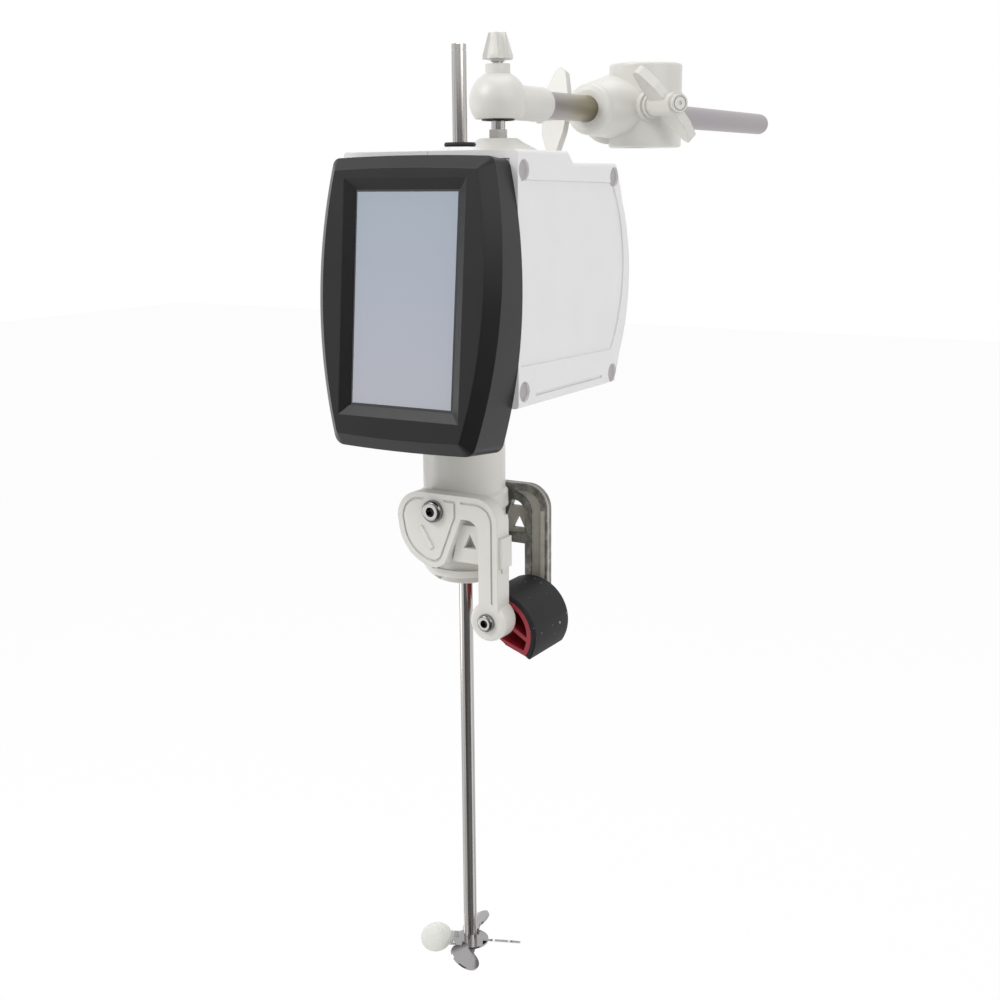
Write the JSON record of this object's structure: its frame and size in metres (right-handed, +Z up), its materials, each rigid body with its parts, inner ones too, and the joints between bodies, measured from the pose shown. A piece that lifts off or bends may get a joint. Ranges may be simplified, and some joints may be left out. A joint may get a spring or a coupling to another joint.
{
  "type": "overhead stirrer",
  "caption": "Overhead stirrer with a leaning touch display, a cam lever at its chuck and a propeller shaft, held by a ball joint, a support rod and a boss-head.",
  "frame": {"origin": "centre of the boss-head's bore for the stand post", "axes": "+Z up along the post, -Y towards the display's front, +X to the lever's side"},
  "size_m": [0.1216, 0.542, 0.5426],
  "materials": {
    "white_housing": "satin white moulding",
    "black_bezel": "satin charcoal moulding",
    "screen_glass": "display glass, switched off",
    "grey_cap": "matt grey",
    "ivory_casting": "smooth off-white paint",
    "stainless": "polished stainless steel",
    "rod_steel": "ground steel",
    "bolt_steel": "bright steel",
    "zinc_steel": "zinc-plated steel",
    "black_rubber": "matt rubber",
    "red_plastic": "red moulding",
    "bare_aluminium": "bare cast aluminium",
    "frame_aluminium": "die-cast aluminium",
    "bronze": "sintered bronze",
    "board": "green circuit board",
    "black_plastic": "black moulding",
    "nylon": "natural nylon",
    "gear_steel": "hardened steel",
    "motor_can": "black painted steel can"
  },
  "bodies": {
    "boss": {"boss_head": "ivory_casting"},
    "post_screw": {"post_wing_handle": "ivory_casting", "post_clamp_screw": "zinc_steel"},
    "rod_screw": {"rod_wing_handle": "ivory_casting", "rod_clamp_screw": "zinc_steel"},
    "rod": {"support_rod": "rod_steel", "ball_socket": "ivory_casting", "socket_set_screw": "zinc_steel", "seat_ring": "ivory_casting"},
    "knob": {"clamp_knob": "ivory_casting", "knob_screw": "bolt_steel"},
    "ball_liner": {"ball_pad": "nylon"},
    "head": {"ball_stud": "stainless", "stud_nut": "bolt_steel", "stud_base": "ivory_casting", "front_bezel": "black_bezel", "touch_screen": "screen_glass", "control_board": "board", "right_cover": "white_housing", "left_cover": "white_housing", "right_cover_screws": "zinc_steel", "left_cover_screws": "zinc_steel", "right_screw_caps": "grey_cap", "left_screw_caps": "grey_cap", "rear_cover": "white_housing", "power_inlet": "black_plastic", "switch_frame": "black_plastic", "core_frame": "frame_aluminium", "drive_motor": "motor_can", "drive_board": "board", "upper_bearing": "gear_steel", "lower_bearing": "gear_steel", "top_seal": "black_rubber", "neck": "ivory_casting", "chuck_housing": "ivory_casting", "pivot_bushes": "bronze", "pivot_bolts": "bolt_steel"},
    "rocker": {"switch_rocker": "black_plastic"},
    "rotor": {"motor_shaft": "gear_steel", "motor_pinion": "gear_steel"},
    "spindle": {"hollow_spindle": "gear_steel", "spindle_gear": "gear_steel", "chuck_body": "zinc_steel", "collet": "gear_steel", "chuck_nut": "zinc_steel"},
    "shaft": {"stirring_shaft": "stainless", "propeller": "stainless", "propeller_nut": "bolt_steel"},
    "lever": {"front_cam_arm": "ivory_casting", "rear_cam_arm": "bare_aluminium", "axle_bolts": "bolt_steel", "grip_axle": "zinc_steel", "grip_core": "red_plastic", "grip_cover": "black_rubber", "arm_stop": "ivory_casting"},
    "collar": {"release_collar": "ivory_casting"}
  },
  "joints": [
    {"name": "post_screw_turn", "type": "hinge", "parent": "boss", "child": "post_screw", "pos_m": [0, 0, -0.00105], "axis": [0.8192, -0.5736, 0], "range_deg": [0, 270]},
    {"name": "rod_screw_turn", "type": "hinge", "parent": "boss", "child": "rod_screw", "pos_m": [-0.0198, -0.0015, -0.00265], "axis": [-1, 0, 0], "range_deg": [0, 270]},
    {"name": "rod_slide", "type": "slide", "parent": "boss", "child": "rod", "axis": [0, 1, 0], "range_m": [-0.25, 0.055]},
    {"name": "knob_turn", "type": "hinge", "parent": "rod", "child": "knob", "pos_m": [-0.0198, -0.1442, -0.00265], "axis": [0, 0, 1], "range_deg": [0, 270]},
    {"name": "head_swivel", "type": "hinge", "parent": "rod", "child": "ball_liner", "pos_m": [-0.0198, -0.1442, -0.00265], "axis": [0, 0, 1], "range_deg": [-90, 90]},
    {"name": "head_tilt", "type": "hinge", "parent": "ball_liner", "child": "head", "pos_m": [-0.0198, -0.1442, -0.00265], "axis": [1, 0, 0], "range_deg": [-12, 12]},
    {"name": "power_rocker", "type": "hinge", "parent": "head", "child": "rocker", "pos_m": [-0.0018, -0.084, -0.12855], "axis": [1, 0, 0], "range_deg": [0, 14]},
    {"name": "spindle_spin", "type": "hinge", "parent": "head", "child": "spindle", "pos_m": [-0.0198, -0.1855, -0.10655], "axis": [0, 0, 1], "continuous": true},
    {"name": "rotor_spin", "type": "hinge", "parent": "head", "child": "rotor", "pos_m": [-0.0198, -0.13525, -0.10655], "axis": [0, 0, 1], "continuous": true},
    {"name": "shaft_slide", "type": "slide", "parent": "spindle", "child": "shaft", "axis": [0, 0, 1], "range_m": [-0.1, 0.17]},
    {"name": "lever_raise", "type": "hinge", "parent": "head", "child": "lever", "pos_m": [-0.0198, -0.1855, -0.22405], "axis": [0, -1, 0], "range_deg": [0, 50]},
    {"name": "collar_lift", "type": "slide", "parent": "head", "child": "collar", "axis": [0, 0, 1], "range_m": [0, 0.0025]}
  ],
  "couplings": [
    {"joint": "rotor_spin", "follows": "spindle_spin", "ratio": -2.3333},
    {"joint": "collar_lift", "follows": "lever_raise", "m_per_rad": 0.00286}
  ]
}
